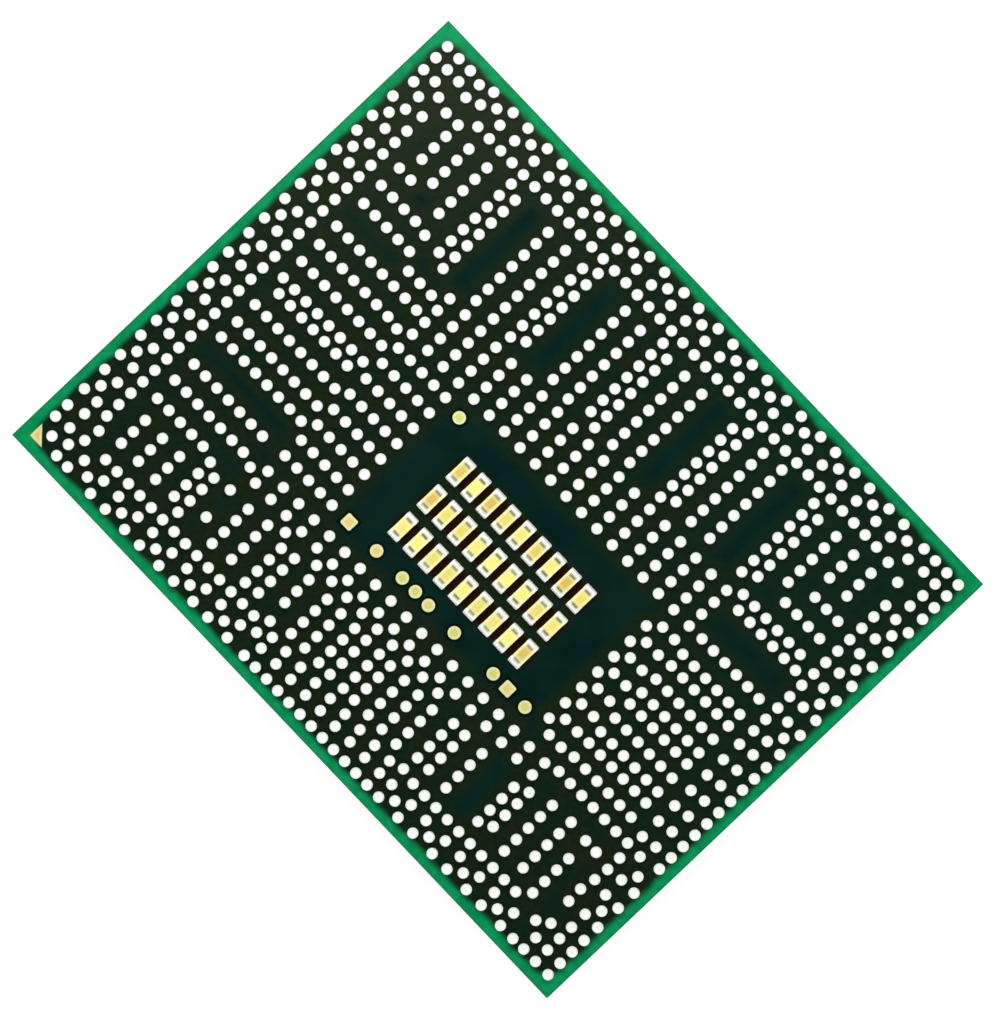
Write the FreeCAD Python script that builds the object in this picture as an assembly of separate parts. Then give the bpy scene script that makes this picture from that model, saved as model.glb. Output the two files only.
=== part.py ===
import FreeCAD, Part
import math
import os

# Flip-chip processor package in a ball grid array, lying ball side up on its silicon die.
# Millimetres. Origin: middle of the die's outer face, which is what the package rests on.
# X runs along the long side, Y along the short side, Z from the die towards the balls.

# Solder balls; the ball map further down counts in ball pitches
ball_pitch = 0.66
ball_diameter = 0.46
ball_height = 0.36

# Substrate; its outline stays this far outside the outermost balls
edge_margin = 0.663
substrate_thickness = 1.10

# Gold features, laid bare in openings of the solder mask
mask_opening_depth = 0.03
plating_thickness = 0.02
opening_clearance = 0.005
round_pad_diameter = 0.55
round_pad_sides = 16
square_pad_side = 0.54
pin_1_leg = 0.70
pin_1_inset = 0.50

# Silicon die and the resin round it
die_length = 14.5
die_width = 10.3
die_thickness = 0.79
bump_height = 0.08
bare_die_wall = 0.34
underfill_lip = 0.06
underfill_spread = 0.75
underfill_corner_radius = 0.50

# Chip capacitors, with the long side of each along Y
capacitor_length = 1.00
capacitor_width = 0.55
capacitor_height = 0.24
end_cap_wrap = 0.16
end_cap_thickness = 0.02
solder_film = 0.02
solder_toe = 0.10

# Heights of the two faces of the substrate
die_side = die_thickness + bump_height
ball_side = die_side + substrate_thickness


# Ball map: every place is (x, y) in ball pitches from the middle of the package

def row(y, first_x, count, pitch=1):
    """Balls along X."""
    return [(first_x + i * pitch, y) for i in range(count)]


def column(x, first_y, count, pitch=1):
    """Balls along Y."""
    return [(x, first_y + i * pitch) for i in range(count)]


def grid(first_x, first_y, columns, rows, pitch_x, pitch_y):
    """Rectangular block of balls."""
    block = []
    for i in range(columns):
        block += column(first_x + i * pitch_x, first_y, rows, pitch_y)
    return block


# Edge motif: a ball with four round it, repeated every three pitches along an edge
motif_period = 3
motif_along = 0.85
motif_across = 0.55


def motif_on_row(x, y):
    """Motif of an edge that runs along X."""
    corners = [(x + i * motif_along, y + j * motif_across) for i in (-1, 1) for j in (-1, 1)]
    return [(x, y)] + corners


def motif_on_column(x, y):
    """Motif of an edge that runs along Y."""
    corners = [(x + i * motif_across, y + j * motif_along) for i in (-1, 1) for j in (-1, 1)]
    return [(x, y)] + corners


def north_edge():
    outer = 17.18
    middle = outer - motif_across
    inner = middle - motif_across
    corner = 17.05
    third = 15.05
    balls = row(corner, -22.37, 3) + row(inner, -22.37, 3) + row(third, -22.35, 2)
    balls += [(-19.38, 16.86), (-19.38, 15.74)]
    for i in range(12):
        balls += motif_on_row(-17.60 + i * motif_period, middle)
    balls += [(18.40, middle), (17.55, outer), (17.55, inner), (19.25, 15.92)]
    balls += row(third, -17.60, 36) + [(18.56, 14.92)]
    balls += row(corner, 19.46, 4) + row(inner, 20.46, 3) + row(third, 21.46, 2)
    return balls


def south_edge():
    outer = -17.18
    middle = outer + motif_across
    inner = middle + motif_across
    third = -15.11
    balls = [(-18.49, middle), (-17.64, outer), (-17.64, inner), (-19.34, inner)]
    for i in range(1, 5):
        balls += motif_on_row(-18.49 + i * motif_period, middle)
    for i in range(4):
        balls += motif_on_row(8.50 + i * motif_period, middle)
    balls += row(third, -18.49, 14) + row(third, 8.50, 10)
    balls += [(-4.58, -14.62), (-4.64, -15.68), (-3.77, -15.20), (7.45, -14.92)]
    balls += row(-15.20, -2.58, 8, pitch=1.30)
    balls += row(-16.14, -3.76, 9, pitch=1.30)
    balls += row(outer, -4.15, 12, pitch=0.98)
    balls += [(19.59, -15.42), (19.44, outer)]
    return balls


def west_edge():
    outer = -22.48
    middle = outer + motif_across
    inner = middle + motif_across
    third = -20.36
    balls = [(-20.71, -17.09), (-19.76, -17.09), (-21.76, -16.48), (-20.71, -16.11)]
    balls += [(outer, -15.50), (inner, -15.36), (-20.20, -15.23)]
    balls += [(outer, -14.50), (-20.03, -14.21), (inner, -14.12)]
    for i in range(9):
        balls += motif_on_column(middle, -12.24 + i * motif_period)
    balls += column(third, -13.24, 26)
    balls += [(third, 13.03), (inner, 13.70), (-22.24, 14.11), (-20.52, 14.55)]
    return balls


def east_edge():
    outer = 22.48
    middle = outer - motif_across
    inner = middle - motif_across
    third = 20.35
    balls = column(outer, -17.14, 4) + column(inner, -17.14, 4)
    balls += column(third, -17.14, 2) + [(third, -14.88)]
    balls += motif_on_column(middle, -12.15)
    balls += [(middle, -9.13), (inner, -9.98), (outer, -9.98)]
    balls += [(20.12, -13.17), (20.08, -12.15), (20.26, -11.14)]
    balls += column(third, -10.15, 2) + [(20.02, -8.18), (21.14, -8.20)]
    balls += column(outer, -7.87, 10, pitch=0.99)
    balls += column(inner, -7.11, 7, pitch=1.35) + column(third, -7.26, 7, pitch=1.35)
    for i in range(4):
        balls += motif_on_column(middle, 3.02 + i * motif_period)
    balls += column(third, 2.02, 12)
    balls += [(outer, 14.06), (inner, 14.06), (19.83, 14.50)]
    return balls


def north_columns():
    balls = row(8.38, -19.05, 4) + row(9.89, -19.05, 2) + [(-19.52, 14.23), (-15.05, 8.21)]
    balls += column(-18.50, 11.25, 4) + column(-17.00, 10.73, 4) + column(-15.42, 9.74, 5)
    sevens = [(-13.70, 8.13), (-12.83, 7.63), (-10.05, 7.74), (-8.53, 7.74), (-7.03, 7.74),
              (-6.17, 8.22), (-3.39, 7.84), (-1.91, 7.69), (-0.41, 8.16), (0.45, 7.66),
              (1.94, 7.74), (3.44, 7.74), (6.23, 7.66), (7.08, 8.14), (8.58, 7.98),
              (10.09, 8.10), (12.89, 8.11)]
    for x, first_y in sevens:
        balls += column(x, first_y, 7)
    balls += column(13.76, 8.61, 6) + column(15.27, 9.71, 5)
    balls += column(16.80, 11.71, 3) + column(18.32, 11.71, 3)
    balls += row(8.74, 16.05, 4) + row(10.26, 17.05, 3)
    return balls


def south_columns():
    threes = [(-18.56, -13.74), (-17.06, -13.74), (-15.55, -13.74), (-4.77, -13.20)]
    fours = [(-14.03, -13.63), (-13.18, -14.13), (-10.39, -13.93), (-8.88, -13.74),
             (-7.30, -14.10), (-6.30, -13.95), (13.71, -13.39), (18.26, -14.41)]
    fours += [(x, -14.21) for x in (-3.15, -1.95, -0.73, 0.26, 1.42, 2.39, 3.62, 4.82, 6.06)]
    fours += [(x, -13.84) for x in (7.55, 8.53, 10.05, 12.85)]
    fives = [(15.24, -13.91), (16.76, -13.79)]
    balls = [(-11.98, -10.91), (-11.79, -13.09), (18.18, -9.92), (19.12, -9.94)]
    for count, starts in ((3, threes), (4, fours), (5, fives)):
        for x, first_y in starts:
            balls += column(x, first_y, count)
    return balls


def north_grid():
    return grid(-11.23, 3.55, 19, 4, pitch_x=1.35, pitch_y=1.04)


def south_grid():
    balls = grid(-11.23, -9.52, 19, 2, pitch_x=1.35, pitch_y=1.04)
    return balls + [(-7.82, -10.26)] + row(-10.26, -5.08, 9, pitch=1.33)


def west_grid():
    return grid(-11.20, -7.08, 5, 8, pitch_x=1.03, pitch_y=1.35)


def east_grid():
    balls = column(11.29, -6.42, 7, pitch=1.35)
    return balls + grid(12.02, -7.11, 2, 8, pitch_x=1.04, pitch_y=1.35)


def west_rows():
    eights = [(4.73, -19.11), (1.73, -19.02), (0.24, -19.08),
              (-2.11, -19.07), (-3.61, -19.05), (-4.94, -19.05)]
    sevens = [(3.21, -19.02), (-0.61, -18.56), (-7.26, -19.00), (-8.77, -19.09)]
    fives = [(6.86, -18.98), (-10.29, -19.02)]
    balls = row(6.00, -14.15, 3) + [(-12.11, 3.09), (-12.15, -9.09)]
    for count, starts in ((8, eights), (7, sevens), (5, fives)):
        for y, first_x in starts:
            balls += row(y, first_x, count)
    return balls


def east_rows():
    starts = [(7.23, 13.94), (6.36, 14.44), (3.58, 14.17), (2.09, 14.05), (1.11, 14.08)]
    starts += [(y, 14.03) for y in (-0.12, -1.30, -2.29, -3.53, -4.73, -5.71, -6.95, -8.21)]
    balls = []
    for y, first_x in starts:
        balls += row(y, first_x, 6)
    return balls


ball_groups = {
    "north_edge": north_edge(),
    "south_edge": south_edge(),
    "west_edge": west_edge(),
    "east_edge": east_edge(),
    "north_columns": north_columns(),
    "south_columns": south_columns(),
    "north_grid": north_grid(),
    "south_grid": south_grid(),
    "west_grid": west_grid(),
    "east_grid": east_grid(),
    "west_rows": west_rows(),
    "east_rows": east_rows(),
}

# Reach of the ball map, and the package outline from it
every_ball = [spot for spots in ball_groups.values() for spot in spots]
reach_x = max(abs(x) for x, y in every_ball)
reach_y = max(abs(y) for x, y in every_ball)
package_length = 2 * (ball_pitch * reach_x + edge_margin)
package_width = 2 * (ball_pitch * reach_y + edge_margin)

# The ball nearest each corner is in a group of its own: these four carry the package
# when it stands on its balls
corner_balls = []
for corner in grid(-reach_x, -reach_y, 2, 2, 2 * reach_x, 2 * reach_y):
    corner_balls.append(min(every_ball, key=lambda spot: math.dist(spot, corner)))
for name, spots in ball_groups.items():
    ball_groups[name] = [spot for spot in spots if spot not in corner_balls]
ball_groups["corners"] = corner_balls

# Places of the bare pads and of the capacitors, on the same map
pad_row_y = -7.03
round_pads = [(x, pad_row_y) for x in (-3.22, -0.96, 0.18, 1.32, 3.60, 7.02, 9.80)]
round_pads.append((-5.62, 2.13))
square_pads = [(x, pad_row_y) for x in (-5.63, 8.27)]
capacitor_rows = {name: row(y, -3.18, 9, pitch=1.322) for name, y in
                  (("a", -0.045), ("b", -2.455), ("c", -4.87))}


def place(spot, z):
    """Point in millimetres over a place of the ball map."""
    x, y = spot
    return FreeCAD.Vector(x * ball_pitch, y * ball_pitch, z)


def centred_box(middle, length, width, height):
    """Box with the middle of its lower face at a point."""
    corner = middle - FreeCAD.Vector(length / 2, width / 2, 0)
    return Part.makeBox(length, width, height, corner)


def flat_face(points):
    return Part.Face(Part.makePolygon(points + points[:1]))


def ring(radius, count, first_angle, middle):
    """Points spread evenly round a circle."""
    angles = [math.radians(first_angle + 360 * i / count) for i in range(count)]
    return [middle + FreeCAD.Vector(radius * math.cos(a), radius * math.sin(a), 0) for a in angles]


def corner_radius(diameter, sides):
    """Distance to the corners of a regular outline with the area of a circle."""
    turn = 2 * math.pi / sides
    return diameter / 2 * math.sqrt(turn / math.sin(turn))


def pin_1_triangle(clearance, z, height):
    """Right-angled triangle in the marked corner, drawn in all round by a clearance."""
    leg = pin_1_leg - (2 + math.sqrt(2)) * clearance
    x = pin_1_inset + clearance - package_length / 2
    y = pin_1_inset + clearance - package_width / 2
    corners = [FreeCAD.Vector(x, y, z), FreeCAD.Vector(x + leg, y, z), FreeCAD.Vector(x, y + leg, z)]
    return flat_face(corners).extrude(FreeCAD.Vector(0, 0, height))


def round_pad(spot, clearance, z, height):
    """Low prism with enough flat sides to read as round."""
    radius = corner_radius(round_pad_diameter - 2 * clearance, round_pad_sides)
    outline = ring(radius, round_pad_sides, 0, place(spot, z))
    return flat_face(outline).extrude(FreeCAD.Vector(0, 0, height))


def square_pad(spot, clearance, z, height):
    side = square_pad_side - 2 * clearance
    return centred_box(place(spot, z), side, side, height)


def substrate():
    """Laminated plate, with an opening in its mask over each bare gold feature."""
    plate = centred_box(FreeCAD.Vector(0, 0, die_side), package_length, package_width,
                        substrate_thickness)
    floor = ball_side - mask_opening_depth
    openings = [round_pad(spot, 0, floor, mask_opening_depth) for spot in round_pads]
    openings += [square_pad(spot, 0, floor, mask_opening_depth) for spot in square_pads]
    openings.append(pin_1_triangle(0, floor, mask_opening_depth))
    return plate.cut(openings)


def gold_features():
    """Plating on the floor of each mask opening."""
    floor = ball_side - mask_opening_depth
    size = (opening_clearance, floor, plating_thickness)
    features = {"pin_1_mark": pin_1_triangle(*size)}
    for number, spot in enumerate(round_pads, 1):
        features[f"test_pad_{number}"] = round_pad(spot, *size)
    for number, spot in enumerate(square_pads, 1):
        features[f"test_pad_square_{number}"] = square_pad(spot, *size)
    return features


def silicon_die():
    return centred_box(FreeCAD.Vector(0, 0, 0), die_length, die_width, die_thickness)


def rounded_rectangle(length, width, radius, z):
    """Outline with round corners, centred on the Z axis."""
    plate = centred_box(FreeCAD.Vector(0, 0, z), length, width, 1)
    uprights = [edge for edge in plate.Edges if abs(edge.BoundBox.ZLength - 1) < 1e-6]
    rounded = plate.makeFillet(radius, uprights)
    lowest = min(rounded.Faces, key=lambda face: face.CenterOfMass.z)
    return lowest.OuterWire


def underfill():
    """Resin between die and substrate, with a sloping fillet round the die."""
    low = rounded_rectangle(die_length + 2 * underfill_lip, die_width + 2 * underfill_lip,
                            underfill_lip, bare_die_wall)
    high = rounded_rectangle(die_length + 2 * underfill_spread, die_width + 2 * underfill_spread,
                             underfill_corner_radius + underfill_lip, die_side)
    return Part.makeLoft([low, high], True, True).cut(silicon_die())


def capacitor_body(spot):
    lift = ball_side + solder_film + end_cap_thickness
    return centred_box(place(spot, lift), capacitor_width, capacitor_length, capacitor_height)


def capacitor_end(spot, direction):
    """Metal cap over one end of a body, with the solder that runs down to its pad."""
    top = ball_side + solder_film + capacitor_height + 2 * end_cap_thickness
    inner = capacitor_length / 2 - end_cap_wrap
    outer = capacitor_length / 2 + end_cap_thickness
    profile = [(inner, ball_side), (outer + solder_toe, ball_side), (outer, top), (inner, top)]
    width = capacitor_width + 2 * end_cap_thickness
    middle = place(spot, 0)
    corners = [middle + FreeCAD.Vector(-width / 2, direction * y, z) for y, z in profile]
    cap = flat_face(corners).extrude(FreeCAD.Vector(width, 0, 0))
    return cap.cut(capacitor_body(spot))


def capacitors():
    """A body in a node of its own for each capacitor, and the ends of each row in one."""
    parts = {}
    for name, spots in capacitor_rows.items():
        for number, spot in enumerate(spots, 1):
            parts[f"capacitor_{name}{number}"] = capacitor_body(spot)
        ends = [capacitor_end(spot, direction) for spot in spots for direction in (-1, 1)]
        parts[f"capacitor_ends_{name}"] = Part.makeCompound(ends)
    return parts


def solder_ball():
    """Ball with flat facets: a seat, a crown turned against it, and six sides between.

    Its outline from above is a hexagon with the area of the round ball's.
    """
    radius = corner_radius(ball_diameter, 6)
    seat = ring(radius, 3, 0, FreeCAD.Vector(0, 0, 0))
    crown = ring(radius, 3, 60, FreeCAD.Vector(0, 0, ball_height))
    faces = [flat_face(seat), flat_face(crown)]
    for i in range(3):
        following = (i + 1) % 3
        faces.append(flat_face([seat[i], seat[following], crown[i]]))
        faces.append(flat_face([crown[i], crown[following], seat[following]]))
    return Part.makeSolid(Part.makeShell(faces))


def solder_balls():
    ball = solder_ball()
    groups = {}
    for name, spots in ball_groups.items():
        balls = [ball.translated(place(spot, ball_side)) for spot in spots]
        groups[f"solder_balls_{name}"] = Part.makeCompound(balls)
    return groups


nodes = {"substrate": substrate(), "silicon_die": silicon_die(), "underfill": underfill()}
nodes.update(gold_features())
nodes.update(capacitors())
nodes.update(solder_balls())

os.makedirs("parts", exist_ok=True)
for node, shape in nodes.items():
    shape.exportStep(f"parts/{node}.step")
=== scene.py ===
import math
import random

import bmesh
import bpy
from mathutils import Matrix, Vector, kdtree


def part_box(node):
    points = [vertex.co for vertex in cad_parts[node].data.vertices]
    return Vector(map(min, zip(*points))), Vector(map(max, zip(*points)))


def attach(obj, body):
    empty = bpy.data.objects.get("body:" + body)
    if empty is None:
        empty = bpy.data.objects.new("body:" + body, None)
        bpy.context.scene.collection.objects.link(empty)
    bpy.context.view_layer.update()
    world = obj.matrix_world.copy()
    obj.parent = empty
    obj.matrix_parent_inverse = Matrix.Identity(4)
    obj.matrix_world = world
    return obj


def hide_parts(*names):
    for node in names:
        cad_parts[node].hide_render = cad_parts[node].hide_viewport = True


# Flip-chip package in a ball grid array, lying ball side up on a white table.
# Lengths are in millimetres, in the frame of the CAD model, and turned to metres at the end.

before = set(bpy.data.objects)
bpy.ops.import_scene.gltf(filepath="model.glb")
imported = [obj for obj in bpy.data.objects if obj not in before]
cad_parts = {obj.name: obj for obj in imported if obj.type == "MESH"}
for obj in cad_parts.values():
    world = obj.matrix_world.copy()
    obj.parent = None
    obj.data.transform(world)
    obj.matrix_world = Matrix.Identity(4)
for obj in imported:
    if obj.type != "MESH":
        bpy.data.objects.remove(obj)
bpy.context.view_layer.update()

MM = 0.001
random.seed(7)

# Photograph's frame: package middle, turn and scale in it
frame_width_px = 1000
frame_height_px = 1015
pixels_per_mm = 25.07
package_middle_px = (497.7, 509.5)
package_turn = math.radians(46.5)
camera_distance = 600
sensor_width = 36
nearest_view = 10
farthest_view = 10000

# Lamp beyond the photograph's upper edge
lamp_offset = 38
lamp_height = 50
lamp_size = 20
lamp_power = 0.0135

# Light from all round. It falls twice with height, over these sines of the angle above the table
horizon_light = 1.65
middle_light = 0.85
overhead_light = 0.02
first_fall = (0.25, 0.60)
second_fall = (0.80, 0.94)
lower_edge_light = 0.40

# Table
table_half = 1500
table_colour = (0.50, 0.50, 0.50, 1)
table_glow = 0.72

# Edges sharper than these angles, in degrees, stay sharp
sharp_angle = 40
ball_sharp_angle = 70

# How far along Z a face's normal points, at most for an upright face and at least for a level one
upright_normal = 0.5
level_normal = 0.9

# Solder balls
ball_diameter = 0.462
ball_height = 0.36
ball_segments = 20
ball_rings = 8
ball_size_spread = 0.01
same_point = 0.001
place_digits = 4

# Capacitors, with the long side of each along Y
capacitors_in_row = 9
band_thickness = 0.008
band_edge = {1: 0.356, -1: 0.380}
band_bevel_along = 0.01
band_bevel_down = 0.005
body_rounding = 0.045
body_steps = 3
body_corner_share = 1.05
end_rounding = 0.05
end_steps = 2
solder_shoulder = 0.535
solder_belly = 0.59
solder_foot = 0.62
solder_waist = 0.07
shoulder_steps = 6
foot_steps = 3

# Shades of a capacitor, by distance from its middle or from the line where a band begins: a painted
# highlight along its long sides and a painted shade line at each band
shade_bias = 1.5
band_shade_darkness = (0.7, 1.0)
band_shade_reach = 0.115
band_shade_end_fade = (0.10, 0.21)
painted_highlight_side = (0.10, 0.25)
pale_end = (0.12, 0.36)
pale_end_share = 0.6

# Bare gold features and the openings of the solder mask over them
opening_radius = 0.275
opening_side = 0.55
opening_corner = 0.08
corner_steps = 6
circle_steps = 48
plating_clearance = 0.005
plating_bevel = 0.004
pin_1_leg = 0.70
pin_1_inset = 0.50
pale_rim = 0.15
palest_share = 0.3

# Substrate
edge_chamfer = 0.012
surface_step = 0.25
weld_distance = 0.0005
cutter_rise = 0.1

# Shades of the mask: between the balls, at the rim, round the pads, a painted shade in the strips
# among the capacitors, and towards two edges of the photograph, with painted light towards the
# upper one
covered_gap = 0.22
open_gap = 0.52
capacitor_shade = 0.15
shade_depth = 0.05
rim_corner = 1.3
rim_fade = (0.25, 0.57)
rim_wobble = 0.30
dark_edge = (0.02, 0.09)
dark_edge_share = 0.5
pad_ring = (0.06, 0.15)
strip_side = (0.17, 0.08)
strip_end = (0.42, 0.56)
strip_overhang = 0.1
greener_right = (3, 14)
painted_light_top = (7, 17)
tint_share = 0.7

# Layers of the laminate, by distance from its middle plane
core_edge = (0.385, 0.40)
skin_edge = (0.52, 0.53)
layer_half = 0.033
layer_edge = (0.008, 0.02)

# Noise: its detail, and how it is squeezed for the weave and for grinding marks
noise_detail = 3.0
weave_squeeze = (1, 1, 9)
grinding_squeeze = (0.4, 30, 1)

# Die and underfill
die_chamfer = 0.015
die_corner = 0.02
die_corner_steps = 2
fillet_steps = 10
fillet_hollow = 2.2
fillet_lip = 0.06
fillet_inner_corner = 0.01
fillet_corner_share = 0.75
fillet_corner_steps = 8


def srgb(red, green, blue):
    """Linear colour of an sRGB one given in 0 to 255."""
    def linear(value):
        value /= 255
        return value / 12.92 if value <= 0.04045 else ((value + 0.055) / 1.055) ** 2.4
    return (linear(red), linear(green), linear(blue), 1.0)


def box_mm(node):
    low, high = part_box(node)
    return low / MM, high / MM


def photo_direction(right, up):
    """Direction along the table that the photograph shows as right and up."""
    return Matrix.Rotation(package_turn, 3, "Z") @ Vector((right, up, 0))


photo_right = photo_direction(1, 0)
photo_up = photo_direction(0, 1)
board_low, board_high = box_mm("substrate")
ball_side = board_high.z
die_side = board_low.z


# Node materials

class Nodes:
    """Short calls that add nodes to a tree."""

    def __init__(self, tree):
        self.tree = tree

    def add(self, kind, values=(), **settings):
        """New node. values fill its inputs by place: a socket is linked, anything else is set."""
        node = self.tree.nodes.new(kind)
        for key, value in settings.items():
            setattr(node, key, value)
        for place, value in enumerate(values):
            self.put(node.inputs[place], value)
        return node

    def put(self, socket, value):
        if isinstance(value, bpy.types.NodeSocket):
            self.tree.links.new(value, socket)
        else:
            socket.default_value = value

    def math(self, operation, *values):
        return self.add("ShaderNodeMath", values, operation=operation).outputs[0]

    def vector(self, operation, *values):
        return self.add("ShaderNodeVectorMath", values, operation=operation).outputs

    def length(self, first, second):
        """Length of the flat vector of two values."""
        flat = self.add("ShaderNodeCombineXYZ", (first, second)).outputs[0]
        return self.vector("LENGTH", flat)["Value"]

    def split(self, vector):
        return self.add("ShaderNodeSeparateXYZ", (vector,)).outputs

    def ramp(self, value, start, end, low=0.0, high=1.0):
        """Smooth step of a value from low at start to high at end."""
        node = self.add("ShaderNodeMapRange", interpolation_type="SMOOTHSTEP")
        inputs = {"Value": value, "From Min": start, "From Max": end, "To Min": low, "To Max": high}
        for name, setting in inputs.items():
            self.put(node.inputs[name], setting)
        return node.outputs["Result"]

    def most(self, values):
        """Greatest of some values."""
        greatest = values[0]
        for value in values[1:]:
            greatest = self.math("MAXIMUM", greatest, value)
        return greatest


class Surface(Nodes):
    """Node material round one Principled shader."""

    def __init__(self, name, roughness, metallic=0.0, **sockets):
        self.material = bpy.data.materials.new(name)
        self.material.use_nodes = True
        super().__init__(self.material.node_tree)
        self.shader = self.tree.nodes["Principled BSDF"]
        self.set("Roughness", roughness)
        self.set("Metallic", metallic)
        for socket, value in sockets.items():
            self.set(socket.replace("_", " "), value)

    def set(self, socket, value):
        self.put(self.shader.inputs[socket], value)

    def place_mm(self):
        """Point of the surface in millimetres."""
        scaled = self.add("ShaderNodeVectorMath", operation="SCALE")
        self.put(scaled.inputs["Vector"], self.add("ShaderNodeTexCoord").outputs["Object"])
        self.put(scaled.inputs["Scale"], 1 / MM)
        return scaled.outputs[0]

    def attribute(self, name, output="Fac"):
        return self.add("ShaderNodeAttribute", attribute_name=name).outputs[output]

    def distance(self, value, centre=0.0):
        """How far a value is from a centre, on either side."""
        return self.math("ABSOLUTE", self.math("SUBTRACT", value, centre))

    def along(self, place, direction, start, end):
        """Smooth step of how far a place lies in a direction."""
        return self.ramp(self.vector("DOT_PRODUCT", place, direction)["Value"], start, end)

    def noise(self, vector, scale):
        node = self.add("ShaderNodeTexNoise")
        self.put(node.inputs["Vector"], vector)
        self.put(node.inputs["Scale"], scale)
        self.put(node.inputs["Detail"], noise_detail)
        return node.outputs["Fac"]

    def patches(self, vector, scale, start, end):
        """Noise as patches of 0 and 1, with soft edges where it passes from start to end."""
        return self.ramp(self.noise(vector, scale), start, end)

    def stray(self, vector, scale, spread):
        """Noise that strays about 0."""
        return self.math("MULTIPLY", self.math("SUBTRACT", self.noise(vector, scale), 0.5), spread)

    def mix(self, share, first, second):
        """Colour between two; sockets 6, 7 and output 2 are the node's colour ones."""
        node = self.add("ShaderNodeMix", data_type="RGBA")
        self.put(node.inputs["Factor"], share)
        self.put(node.inputs[6], first)
        self.put(node.inputs[7], second)
        return node.outputs[2]

    def bump(self, vector, scale, strength, depth=0.01):
        """Fine relief from noise."""
        node = self.add("ShaderNodeBump")
        self.put(node.inputs["Height"], self.noise(vector, scale))
        self.put(node.inputs["Strength"], strength)
        self.put(node.inputs["Distance"], depth * MM)
        self.set("Normal", node.outputs["Normal"])


def solder_mask(outlines):
    """Green mask: bright over the bare laminate of the rim, nearly black over copper."""
    s = Surface("solder_mask", roughness=0.2, Specular_IOR_Level=0.3)
    place = s.place_mm()
    x, y, _ = s.split(place)
    from_side = s.math("SUBTRACT", board_high.x, s.distance(x))
    from_end = s.math("SUBTRACT", board_high.y, s.distance(y))
    inside = s.mix(s.attribute("open_area"), mask_over_balls(s, place), open_mask(s, place))
    # Painted shade: reddish dark strips between the capacitors.
    inside = s.mix(painted_shade_between_capacitors(s, x, y), inside, srgb(38, 17, 5))
    inside = s.mix(beside_pads(s, x, y, outlines), inside, srgb(8, 20, 6))
    green = rim_green(s, place, s.math("MINIMUM", from_side, from_end))
    s.set("Base Color", s.mix(rim(s, place, from_side, from_end), inside, green))
    s.bump(place, scale=9.0, strength=0.08)
    return s.material


def rim(s, place, from_side, from_end):
    """Share of the bright rim, with a wavy inner edge that is rounded at the corners."""
    into_corner = [s.math("MAXIMUM", s.math("SUBTRACT", rim_corner, away), 0.0)
                   for away in (from_side, from_end)]
    from_round = s.math("SUBTRACT", rim_corner, s.length(*into_corner))
    wavy = s.math("ADD", from_round, s.stray(place, scale=1.1, spread=rim_wobble))
    return s.ramp(wavy, *rim_fade, 1.0, 0.0)


def rim_green(s, place, from_edge):
    """Green of the rim, darker along the edge of the plate."""
    patch = s.patches(place, scale=2.4, start=0.35, end=0.65)
    green = s.mix(patch, srgb(8, 136, 80), srgb(14, 150, 90))
    return s.mix(s.ramp(from_edge, *dark_edge, dark_edge_share, 0.0), green, srgb(4, 104, 62))


def mask_over_balls(s, place):
    """Brownish mask among the balls, greener to the photograph's right, and paler and browner at
    its top with painted light from the lamp's side.
    """
    grain = s.patches(place, scale=5.0, start=0.3, end=0.7)
    patch = s.patches(place, scale=0.9, start=0.42, end=0.62)
    colour = s.mix(grain, s.mix(patch, srgb(16, 35, 20), srgb(24, 34, 17)),
                   s.mix(patch, srgb(22, 40, 26), srgb(28, 40, 22)))
    right = s.math("MULTIPLY", s.along(place, photo_right, *greener_right), tint_share)
    # Painted light: the mask grows paler and browner towards the lamp's side.
    top = s.math("MULTIPLY", s.along(place, photo_up, *painted_light_top), tint_share)
    return s.mix(top, s.mix(right, colour, srgb(17, 43, 28)), srgb(37, 48, 28))


def open_mask(s, place):
    """Bluer mask of the places with no balls."""
    cloud = s.patches(place, scale=0.55, start=0.35, end=0.65)
    return s.mix(cloud, srgb(4, 31, 28), srgb(8, 37, 32))


def beside_pads(s, x, y, outlines):
    """Share of the darker mask in a narrow ring round each test pad."""
    rings = []
    for node, (_, middle, reach) in outlines.items():
        if node.startswith("test_pad"):
            off = [s.distance(value, centre) for value, centre in zip((x, y), middle)]
            away = s.math("MAXIMUM", *off) if "square" in node else s.length(*off)
            rings.append(s.ramp(away, *(reach + edge for edge in pad_ring), 1.0, 0.0))
    return s.most(rings)


def painted_shade_between_capacitors(s, x, y):
    """Share of the reddish painted shade in strips between neighbours in a row of capacitors."""
    first, second, last = (box_mm(f"capacitor_a{n}") for n in (1, 2, capacitors_in_row))
    spacing = second[0].x - first[0].x
    left = (first[0].x + first[1].x) / 2
    right = (last[0].x + last[1].x) / 2
    to_gap = s.math("PINGPONG", s.math("SUBTRACT", x, left), spacing / 2)
    across = s.ramp(to_gap, *(spacing / 2 - edge for edge in strip_side))
    within = s.math("LESS_THAN", s.distance(x, (left + right) / 2),
                    (right - left) / 2 + (first[1].x - first[0].x) / 2 + strip_overhang)
    rows = []
    for row in "abc":
        low, high = box_mm(f"capacitor_{row}1")
        rows.append(s.ramp(s.distance(y, (low.y + high.y) / 2), *strip_end, 1.0, 0.0))
    return s.math("MULTIPLY", s.math("MULTIPLY", across, within), s.most(rows))


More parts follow.
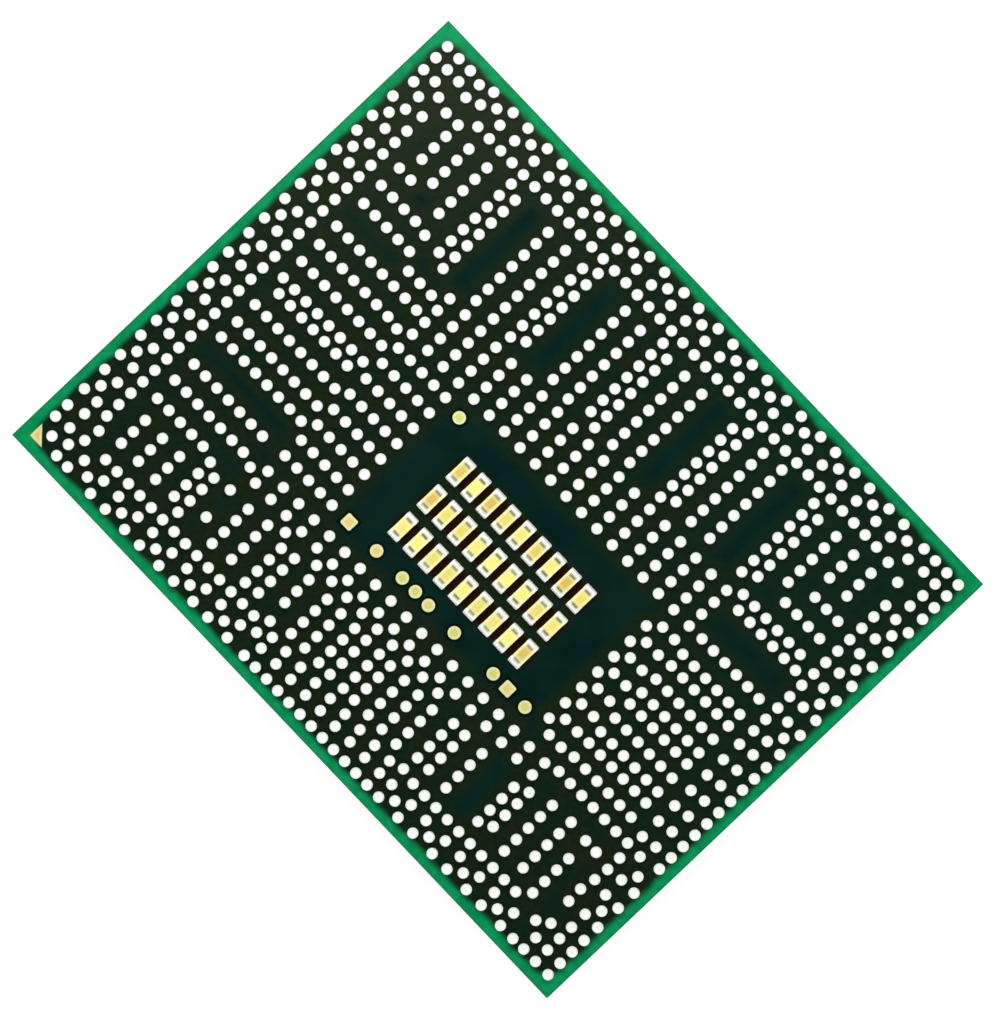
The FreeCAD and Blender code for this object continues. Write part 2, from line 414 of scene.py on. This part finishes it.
def laminate_edge():
    """Sawn side: woven core between thin build-up layers, and the mask on both faces."""
    s = Surface("laminate_edge", roughness=0.75)
    place = s.place_mm()
    from_middle = s.distance(s.split(place)["Z"], (ball_side + die_side) / 2)
    squeezed = s.vector("MULTIPLY", place, weave_squeeze)[0]
    weave = s.patches(squeezed, scale=3.0, start=0.35, end=0.65)
    core = s.mix(weave, srgb(96, 98, 52), srgb(138, 134, 82))
    layers = s.ramp(s.math("PINGPONG", from_middle, layer_half), *layer_edge)
    outer = s.mix(layers, srgb(28, 70, 44), srgb(70, 96, 52))
    colour = s.mix(s.ramp(from_middle, *core_edge), core, outer)
    s.set("Base Color", s.mix(s.ramp(from_middle, *skin_edge), colour, srgb(14, 120, 68)))
    s.bump(squeezed, scale=12.0, strength=0.5)
    return s.material


def solder():
    """Dull tin-silver solder."""
    s = Surface("solder", roughness=0.5, metallic=0.15)
    place = s.place_mm()
    cloud = s.noise(place, scale=2.0)
    s.set("Base Color", s.mix(cloud, srgb(247, 253, 245), srgb(251, 255, 249)))
    s.bump(place, scale=14.0, strength=0.05)
    return s.material


def tinned_end():
    """Matt tin plating and the solder on it, with a painted shade line where the band begins."""
    s = Surface("tinned_end", roughness=0.5, metallic=0.25)
    place = s.place_mm()
    tin = s.mix(s.noise(place, scale=4.0), srgb(246, 252, 238), srgb(253, 255, 248))
    s.set("Base Color", with_painted_band_shade(s, tin))
    s.bump(place, scale=18.0, strength=0.2)
    return s.material


def capacitor_ceramic():
    """Ceramic from yellow to orange, paler towards its ends, with a painted highlight along its
    long sides and a painted shade line at each end.
    """
    s = Surface("capacitor_ceramic", roughness=0.4)
    across, along, _ = s.split(s.attribute("from_middle", "Vector"))
    grain = s.stray(s.place_mm(), scale=9.0, spread=0.4)
    tone = s.math("ADD", s.attribute("tone"), grain)
    ceramic = s.mix(tone, srgb(251, 247, 134), srgb(222, 190, 92))
    # Painted highlight: pale cream along the rounded long sides.
    colour = s.mix(s.ramp(s.distance(across), *painted_highlight_side), ceramic, srgb(253, 246, 174))
    end = s.math("MULTIPLY", s.ramp(s.distance(along), *pale_end), pale_end_share)
    s.set("Base Color", with_painted_band_shade(s, s.mix(end, colour, srgb(250, 248, 196))))
    return s.material


def with_painted_band_shade(s, colour):
    """Colour with a soft painted shade line across the top, where each metal band begins."""
    across, along, _ = s.split(s.attribute("from_middle", "Vector"))
    middle = (band_edge[1] - band_edge[-1]) / 2
    reach = (band_edge[1] + band_edge[-1]) / 2
    from_line = s.distance(s.distance(along, middle), reach)
    painted_band_shade = s.math("MULTIPLY", s.ramp(from_line, 0, band_shade_reach, 1.0, 0.0),
                  s.ramp(s.distance(across), *band_shade_end_fade, 1.0, 0.0))
    # Painted shade: a soft dark line where the metal band meets the ceramic.
    return s.mix(s.math("MULTIPLY", painted_band_shade, s.attribute("painted_band_shade")), colour, srgb(106, 104, 56))


def gold():
    """Plated gold, paler along its rim."""
    s = Surface("gold_plating", roughness=0.5, metallic=0.3)
    place = s.place_mm()
    tone = s.math("ADD", s.attribute("tone"), s.stray(place, scale=6.0, spread=0.6))
    middle = s.mix(tone, srgb(226, 229, 120), srgb(248, 222, 132))
    edge = s.mix(tone, srgb(242, 250, 192), srgb(254, 248, 194))
    s.set("Base Color", s.mix(s.attribute("rim"), middle, edge))
    s.bump(place, scale=16.0, strength=0.15)
    return s.material


def pin_1_gold():
    """Warmer plating of the corner mark."""
    s = Surface("pin_1_plating", roughness=0.5, metallic=0.45)
    cloud = s.noise(s.place_mm(), scale=5.0)
    middle = s.mix(cloud, srgb(240, 206, 112), srgb(248, 226, 146))
    s.set("Base Color", s.mix(s.attribute("rim"), middle, srgb(252, 246, 176)))
    return s.material


def silicon():
    """Polished back of the die, with fine grinding marks."""
    s = Surface("silicon", roughness=0.12, metallic=1.0)
    marks = s.noise(s.vector("MULTIPLY", s.place_mm(), grinding_squeeze)[0], scale=1.0)
    s.set("Base Color", s.mix(marks, srgb(108, 112, 122), srgb(128, 132, 140)))
    s.set("Roughness", s.ramp(marks, 0.3, 0.7, low=0.10, high=0.2))
    return s.material


def sawn_silicon():
    """Rougher sides of the die."""
    s = Surface("sawn_silicon", roughness=0.5, metallic=0.8)
    place = s.place_mm()
    cloud = s.noise(place, scale=8.0)
    s.set("Base Color", s.mix(cloud, srgb(84, 88, 96), srgb(116, 120, 128)))
    s.bump(place, scale=20.0, strength=0.3)
    return s.material


def resin():
    """Dark filled epoxy."""
    s = Surface("underfill_resin", roughness=0.42)
    place = s.place_mm()
    cloud = s.noise(place, scale=4.0)
    s.set("Base Color", s.mix(cloud, srgb(38, 40, 48), srgb(54, 56, 62)))
    s.bump(place, scale=7.0, strength=0.25, depth=0.02)
    return s.material


# Meshes

def skin(bm, rings, end_caps=True):
    """Surface through rings of as many points each, closed by a flat cap at both ends."""
    loops = [[bm.verts.new(point) for point in ring] for ring in rings]
    count = len(loops[0])
    for lower, upper in zip(loops, loops[1:]):
        for i in range(count):
            j = (i + 1) % count
            bm.faces.new((lower[i], lower[j], upper[j], upper[i]))
    if end_caps:
        bm.faces.new(list(reversed(loops[0])))
        bm.faces.new(loops[-1])
    return loops


def circle(middle, radius, z, count):
    angles = [2 * math.pi * i / count for i in range(count)]
    return [(middle[0] + radius * math.cos(a), middle[1] + radius * math.sin(a), z)
            for a in angles]


def rounded_rectangle(half_x, half_y, radius, z, steps):
    """Ring centred on the Z axis, with an arc of some steps at each corner."""
    points = []
    for corner in range(4):
        side_x = 1 if corner in (0, 3) else -1
        side_y = 1 if corner in (0, 1) else -1
        for i in range(steps + 1):
            angle = math.pi / 2 * (corner + i / steps)
            points.append((side_x * (half_x - radius) + radius * math.cos(angle),
                           side_y * (half_y - radius) + radius * math.sin(angle), z))
    return points


def to_mesh(name, bm):
    """Mesh of closed surfaces, with their faces turned outwards."""
    bmesh.ops.recalc_face_normals(bm, faces=bm.faces)
    mesh = bpy.data.meshes.new(name)
    bm.to_mesh(mesh)
    bm.free()
    return mesh


def add_object(name, data):
    thing = bpy.data.objects.new(name, data)
    bpy.context.scene.collection.objects.link(thing)
    return thing


def finish_piece(name, mesh, materials, node, sharp=sharp_angle):
    """Object from a mesh in millimetres. It rides on the body and stands for a CAD node."""
    mesh.transform(Matrix.Scale(MM, 4))
    for material in materials:
        mesh.materials.append(material)
    mesh.shade_smooth()
    mesh.set_sharp_from_angle(angle=math.radians(sharp))
    piece = add_object(name, mesh)
    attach(piece, "root")
    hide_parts(node)


def make_piece(name, bm, materials, node):
    finish_piece(name, to_mesh(name, bm), materials, node)


def ball_places(node):
    """Middle of each ball of a CAD node, seen from above. Rounded, so their order is fixed."""
    bm = bmesh.new()
    bm.from_mesh(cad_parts[node].data)
    bmesh.ops.remove_doubles(bm, verts=bm.verts, dist=same_point * MM)
    reached = set()
    places = []
    for start in bm.verts:
        if start in reached:
            continue
        reached.add(start)
        island = [start]
        for vertex in island:
            for edge in vertex.link_edges:
                near = edge.other_vert(vertex)
                if near not in reached:
                    reached.add(near)
                    island.append(near)
        middle = sum((vertex.co for vertex in island), Vector()) / len(island) / MM
        places.append((round(middle.x, place_digits), round(middle.y, place_digits)))
    bm.free()
    return sorted(places)


def ball_profile():
    """Rings of a flattened ball as (radius, height), from its land to just under its top."""
    radius = ball_diameter / 2
    middle = ball_height - radius
    lowest = math.asin(-middle / radius)
    angles = [lowest + (math.pi / 2 - lowest) * i / ball_rings for i in range(ball_rings)]
    return [(radius * math.cos(a), middle + radius * math.sin(a)) for a in angles]


def add_ball(vertices, faces, place, size):
    """Adds one ball: its flat land, its rings and the fan of its top."""
    first = len(vertices)
    for radius, height in ball_profile():
        vertices += circle(place, radius * size, ball_side + height, ball_segments)
    top = len(vertices)
    vertices.append((*place, ball_side + ball_height))
    faces.append([first + i for i in reversed(range(ball_segments))])
    for ring in range(ball_rings):
        for i in range(ball_segments):
            lower = first + ring * ball_segments + i
            beside = first + ring * ball_segments + (i + 1) % ball_segments
            if ring == ball_rings - 1:
                faces.append((lower, beside, top))
            else:
                faces.append((lower, beside, beside + ball_segments, lower + ball_segments))


def solder_balls(node, places, material):
    """Round balls at the places of a CAD node's, each a little larger or smaller."""
    vertices = []
    faces = []
    for place in places:
        size = 1 + random.uniform(-ball_size_spread, ball_size_spread)
        add_ball(vertices, faces, place, size)
    name = node.removeprefix("solder_")
    mesh = bpy.data.meshes.new(name)
    mesh.from_pydata(vertices, [], faces)
    finish_piece(name, mesh, [material], node, ball_sharp_angle)


def pad_outlines():
    """Outline, incentre and inradius of each mask opening, by the CAD node in it."""
    outlines = {}
    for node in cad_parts:
        if not node.startswith("test_pad"):
            continue
        low, high = box_mm(node)
        middle = ((low.x + high.x) / 2, (low.y + high.y) / 2)
        if "square" in node:
            half = opening_side / 2
            outline = [(middle[0] + x, middle[1] + y) for x, y, _ in
                       rounded_rectangle(half, half, opening_corner, 0, corner_steps)]
            outlines[node] = (outline, middle, half)
        else:
            outline = [point[:2] for point in circle(middle, opening_radius, 0, circle_steps)]
            outlines[node] = (outline, middle, opening_radius)
    x = board_low.x + pin_1_inset
    y = board_low.y + pin_1_inset
    inradius = pin_1_leg * (1 - math.sqrt(0.5))
    outlines["pin_1_mark"] = ([(x, y), (x + pin_1_leg, y), (x, y + pin_1_leg)],
                              (x + inradius, y + inradius), inradius)
    return outlines


def drawn_in(outline, middle, inradius, distance):
    """Outline with every side moved inwards by a distance."""
    share = 1 - distance / inradius
    return [(middle[0] + (x - middle[0]) * share, middle[1] + (y - middle[1]) * share)
            for x, y in outline]


def gold_pad(node, shape, material):
    """Plated pad with a bevelled edge and a pale rim, in a shade of its own."""
    low, high = box_mm(node)
    levels = [(plating_clearance, low.z), (plating_clearance, high.z - plating_bevel),
              (plating_clearance + plating_bevel, high.z),
              (plating_clearance + palest_share * pale_rim, high.z),
              (plating_clearance + pale_rim, high.z)]
    bm = bmesh.new()
    pale = bm.verts.layers.float.new("rim")
    tone = bm.verts.layers.float.new("tone")
    loops = skin(bm, [[(x, y, z) for x, y in drawn_in(*shape, distance)]
                      for distance, z in levels])
    for loop in loops[:-1]:
        for vertex in loop:
            vertex[pale] = 1.0
    shade = random.random()
    for vertex in bm.verts:
        vertex[tone] = shade
    make_piece(f"{node}_plating", bm, [material], node)


def plate_mesh():
    """Closed plate with chamfered edges, in squares small enough to carry its shades."""
    half_x, half_y = board_high.xy
    columns = round(2 * half_x / surface_step)
    rows = round(2 * half_y / surface_step)
    flat = Matrix.Diagonal((half_x - edge_chamfer, half_y - edge_chamfer, 1, 1))
    bm = bmesh.new()
    for z in (die_side, ball_side):
        bmesh.ops.create_grid(bm, x_segments=columns, y_segments=rows, size=1,
                              matrix=Matrix.Translation((0, 0, z)) @ flat)
    around = [(-1 + 2 * i / columns, -1) for i in range(columns)]
    around += [(1, -1 + 2 * i / rows) for i in range(rows)]
    around += [(1 - 2 * i / columns, 1) for i in range(columns)]
    around += [(-1, 1 - 2 * i / rows) for i in range(rows)]
    levels = [(edge_chamfer, die_side), (0, die_side + edge_chamfer),
              (0, ball_side - edge_chamfer), (edge_chamfer, ball_side)]
    skin(bm, [[(x * (half_x - inset), y * (half_y - inset), z) for x, y in around]
              for inset, z in levels], end_caps=False)
    bmesh.ops.remove_doubles(bm, verts=bm.verts, dist=weld_distance)
    return to_mesh("plate", bm)


def openings_mesh(outlines):
    """Blocks that fill the mask openings, from their floor to above the plate."""
    floor = box_mm("pin_1_mark")[0].z
    bm = bmesh.new()
    for outline, _, _ in outlines.values():
        skin(bm, [[(x, y, z) for x, y in outline] for z in (floor, ball_side + cutter_rise)])
    return to_mesh("openings", bm)


def cut_out(mesh, cutter_mesh):
    """Mesh without what a second one fills."""
    plate = add_object("plate", mesh)
    cutter = add_object("cutter", cutter_mesh)
    cut = plate.modifiers.new("openings", "BOOLEAN")
    cut.object = cutter
    cut.operation = "DIFFERENCE"
    cut.solver = "EXACT"
    graph = bpy.context.evaluated_depsgraph_get()
    result = bpy.data.meshes.new_from_object(plate.evaluated_get(graph))
    for thing in (plate, cutter):
        bpy.data.objects.remove(thing)
    return result


def how_open(place, balls, field):
    """Share of bare mask: 0 near the balls, among the capacitors and on the die's side, else 1."""
    if place.z < ball_side - shade_depth:
        return 0
    from_ball = balls.find((place.x, place.y, 0))[2] - ball_diameter / 2
    (left, back), (right, front) = field
    from_field = math.hypot(max(left - place.x, place.x - right, 0),
                            max(back - place.y, place.y - front, 0))
    share = min((from_ball - covered_gap) / (open_gap - covered_gap), from_field / capacitor_shade)
    return min(max(share, 0), 1)


def mark_open_area(mesh, ball_middles):
    """Gives each point of the plate its share of bare mask."""
    balls = kdtree.KDTree(len(ball_middles))
    for index, (x, y) in enumerate(ball_middles):
        balls.insert((x, y, 0), index)
    balls.balance()
    field = (box_mm("capacitor_ends_c")[0].xy, box_mm("capacitor_ends_a")[1].xy)
    open_area = mesh.attributes.new("open_area", "FLOAT", "POINT")
    for vertex, value in zip(mesh.vertices, open_area.data):
        value.value = how_open(vertex.co, balls, field)


def is_sawn(face):
    """Whether a face of the plate is part of its sides, not of a chamfer or a small opening."""
    return (die_side < face.center.z < ball_side and abs(face.normal.z) < upright_normal
            and face.area > edge_chamfer * surface_step)


def board(outlines, ball_middles, materials):
    """Substrate plate with its openings. Its sawn sides have the second material."""
    mesh = cut_out(plate_mesh(), openings_mesh(outlines))
    mesh.name = "board"
    mark_open_area(mesh, ball_middles)
    sawn = [int(is_sawn(face)) for face in mesh.polygons]
    finish_piece("board", mesh, materials, "substrate")
    mesh.polygons.foreach_set("material_index", sawn)


def located_mesh():
    bm = bmesh.new()
    bm.verts.layers.float_vector.new("from_middle")
    bm.verts.layers.float.new("painted_band_shade")
    return bm


def locate(bm, vertices, middle, darkness):
    """Tells each vertex its place from the capacitor's middle, and how dark its painted shade lines
    are.
    """
    from_middle = bm.verts.layers.float_vector["from_middle"]
    painted_band_shade = bm.verts.layers.float["painted_band_shade"]
    for vertex in vertices:
        vertex[from_middle] = (vertex.co.x - middle.x, vertex.co.y - middle.y, 0)
        vertex[painted_band_shade] = darkness


def body_rings(half, low, high):
    """Rings of a block on the Z axis with rounded edges all round, from its bottom to its top."""
    rings = []
    for end, z in ((-1, low + body_rounding), (1, high - body_rounding)):
        for i in range(body_steps + 1):
            angle = math.pi / 2 * (i / body_steps if end > 0 else 1 - i / body_steps)
            inset = body_rounding * (1 - math.cos(angle))
            corner = body_rounding * body_corner_share - inset
            level = z + end * body_rounding * math.sin(angle)
            rings.append(rounded_rectangle(half.x - inset, half.y - inset, corner, level,
                                           body_steps))
    return rings


def capacitor_body(node, material, darkness):
    """Ceramic block with worn edges, in a shade of its own."""
    low, high = box_mm(node)
    middle = (low + high) / 2
    bm = located_mesh()
    tone = bm.verts.layers.float.new("tone")
    skin(bm, body_rings((high - low) / 2, low.z, high.z))
    bmesh.ops.translate(bm, verts=bm.verts, vec=(middle.x, middle.y, 0))
    shade = random.random() ** shade_bias
    for vertex in bm.verts:
        vertex[tone] = shade
    locate(bm, bm.verts, middle, darkness)
    make_piece(f"{node}_body", bm, [material], node)


def end_profile(side, top):
    """Section of an end along the capacitor: metal band, rounded shoulder and solder slope."""
    inner = band_edge[side]
    points = [(inner, 0.0), (inner, top - band_bevel_down), (inner + band_bevel_along, top)]
    for i in range(shoulder_steps + 1):
        angle = math.pi / 2 * i / shoulder_steps
        points.append((solder_shoulder + (solder_belly - solder_shoulder) * math.sin(angle),
                       solder_waist + (top - solder_waist) * math.cos(angle)))
    for i in range(1, foot_steps + 1):
        share = i / foot_steps
        points.append((solder_belly + (solder_foot - solder_belly) * share ** 2,
                       solder_waist * (1 - share)))
    return points


def end_rings(side, middle, half_width, top):
    """Rings across one metal end, drawn in at both sides to round its edges."""
    profile = end_profile(side, top)
    rings = []
    for end, steps in ((-1, range(end_steps + 1)), (1, range(end_steps, -1, -1))):
        for step in steps:
            angle = math.pi / 2 * step / end_steps
            inset = end_rounding * (1 - math.sin(angle))
            x = middle.x + end * (half_width - end_rounding * (1 - math.cos(angle)))
            rings.append([(x, middle.y + side * max(y - inset, band_edge[side]),
                           ball_side + max(z - inset, 0)) for y, z in profile])
    return rings


def capacitor_ends(row, material, darkness):
    """Both metal ends of each capacitor of a row."""
    node = f"capacitor_ends_{row}"
    top = box_mm(node)[1].z - ball_side
    bm = located_mesh()
    for number, dark in enumerate(darkness, 1):
        low, high = box_mm(f"capacitor_{row}{number}")
        middle = (low + high) / 2
        half_width = (high.x - low.x) / 2 + band_thickness
        for side in (-1, 1):
            loops = skin(bm, end_rings(side, middle, half_width, top))
            locate(bm, [vertex for loop in loops for vertex in loop], middle, dark)
    make_piece(f"ends_{row}", bm, [material], node)


def die(materials):
    """Chip with its outer edges chamfered. Its sides have the second material."""
    low, high = box_mm("silicon_die")
    bm = bmesh.new()
    skin(bm, [rounded_rectangle(high.x - inset, high.y - inset, die_corner, z, die_corner_steps)
              for inset, z in ((die_chamfer, low.z), (0, low.z + die_chamfer), (0, high.z))])
    for face in bm.faces:
        face.normal_update()
        face.material_index = 0 if abs(face.normal.z) > level_normal else 1
    make_piece("die", bm, materials, "silicon_die")


def underfill(material):
    """Resin that climbs from the die's wall to the substrate in a hollow slope."""
    low, high = box_mm("underfill")
    wall = box_mm("silicon_die")[1]
    spread = high.x - wall.x
    rings = [rounded_rectangle(wall.x, wall.y, fillet_inner_corner, z, fillet_corner_steps)
             for z in (wall.z, low.z)]
    for i in range(fillet_steps + 1):
        share = i / fillet_steps
        reach = fillet_lip + (spread - fillet_lip) * share ** fillet_hollow
        rings.append(rounded_rectangle(wall.x + reach, wall.y + reach, reach * fillet_corner_share,
                                       low.z + (high.z - low.z) * share, fillet_corner_steps))
    bm = bmesh.new()
    skin(bm, rings)
    make_piece("resin_fillet", bm, [material], "underfill")


# Stage

def camera():
    """Camera straight above, with the package placed and turned as in the photograph."""
    field = frame_height_px / pixels_per_mm
    right = (frame_width_px / 2 - package_middle_px[0]) / pixels_per_mm
    up = (package_middle_px[1] - frame_height_px / 2) / pixels_per_mm
    data = bpy.data.cameras.new("camera")
    data.sensor_width = sensor_width
    data.lens = sensor_width * camera_distance / field
    data.clip_start = nearest_view * MM
    data.clip_end = farthest_view * MM
    thing = add_object("camera", data)
    spot = photo_direction(right, up) + Vector((0, 0, ball_side + camera_distance))
    thing.location = spot * MM
    thing.rotation_euler = (0, 0, package_turn)
    bpy.context.scene.camera = thing


def studio():
    """White light from all round, hardly any from straight above, more from the lower edge."""
    world = bpy.data.worlds.new("studio")
    bpy.context.scene.world = world
    world.use_nodes = True
    n = Nodes(world.node_tree)
    direction = n.add("ShaderNodeTexCoord").outputs["Generated"]
    height = n.split(direction)["Z"]
    by_height = n.math("MULTIPLY", n.ramp(height, *first_fall, horizon_light, middle_light),
                       n.ramp(height, *second_fall, 1.0, overhead_light / middle_light))
    toward_top = n.vector("DOT_PRODUCT", direction, photo_up)["Value"]
    by_side = n.math("MULTIPLY_ADD", toward_top, -lower_edge_light, 1)
    background = n.tree.nodes["Background"]
    n.put(background.inputs["Color"], (1, 1, 1, 1))
    n.put(background.inputs["Strength"], n.math("MULTIPLY", by_height, by_side))


def lamp():
    """Soft lamp aimed at the middle of the package."""
    data = bpy.data.lights.new("lamp", "AREA")
    data.energy = lamp_power
    data.size = lamp_size * MM
    thing = add_object("lamp", data)
    thing.location = (photo_up * lamp_offset + Vector((0, 0, lamp_height))) * MM
    thing.rotation_euler = (-thing.location).to_track_quat("-Z", "Y").to_euler()
    thing.visible_camera = False


def table():
    """White table. It shows white to the camera and to metal, and keeps the object's shadow."""
    s = Surface("table", roughness=0.9, Specular_IOR_Level=0.0)
    s.set("Base Color", table_colour)
    path = s.add("ShaderNodeLightPath").outputs
    seen = s.most([path[f"Is {kind} Ray"] for kind in ("Camera", "Glossy", "Transmission")])
    s.set("Emission Color", (1, 1, 1, 1))
    s.set("Emission Strength", s.math("MULTIPLY", seen, table_glow))
    half = table_half * MM
    mesh = bpy.data.meshes.new("table")
    mesh.from_pydata([(-half, -half, 0), (half, -half, 0), (half, half, 0), (-half, half, 0)], [],
                     [(0, 1, 2, 3)])
    mesh.materials.append(s.material)
    add_object("table", mesh)


camera()
studio()
lamp()
table()
bpy.context.scene.view_settings.view_transform = "Standard"

ball_map = {node: ball_places(node) for node in sorted(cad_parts)
            if node.startswith("solder_balls_")}
openings = pad_outlines()
board(openings, [place for places in ball_map.values() for place in places],
      [solder_mask(openings), laminate_edge()])
solder_material = solder()
for node, places in ball_map.items():
    solder_balls(node, places, solder_material)
gold_material = gold()
for node, shape in openings.items():
    gold_pad(node, shape, pin_1_gold() if node == "pin_1_mark" else gold_material)
ceramic = capacitor_ceramic()
tin = tinned_end()
for row in "abc":
    darkness = [random.uniform(*band_shade_darkness) for _ in range(capacitors_in_row)]
    for number, dark in enumerate(darkness, 1):
        capacitor_body(f"capacitor_{row}{number}", ceramic, dark)
    capacitor_ends(row, tin, darkness)
die([silicon(), sawn_silicon()])
underfill(resin())
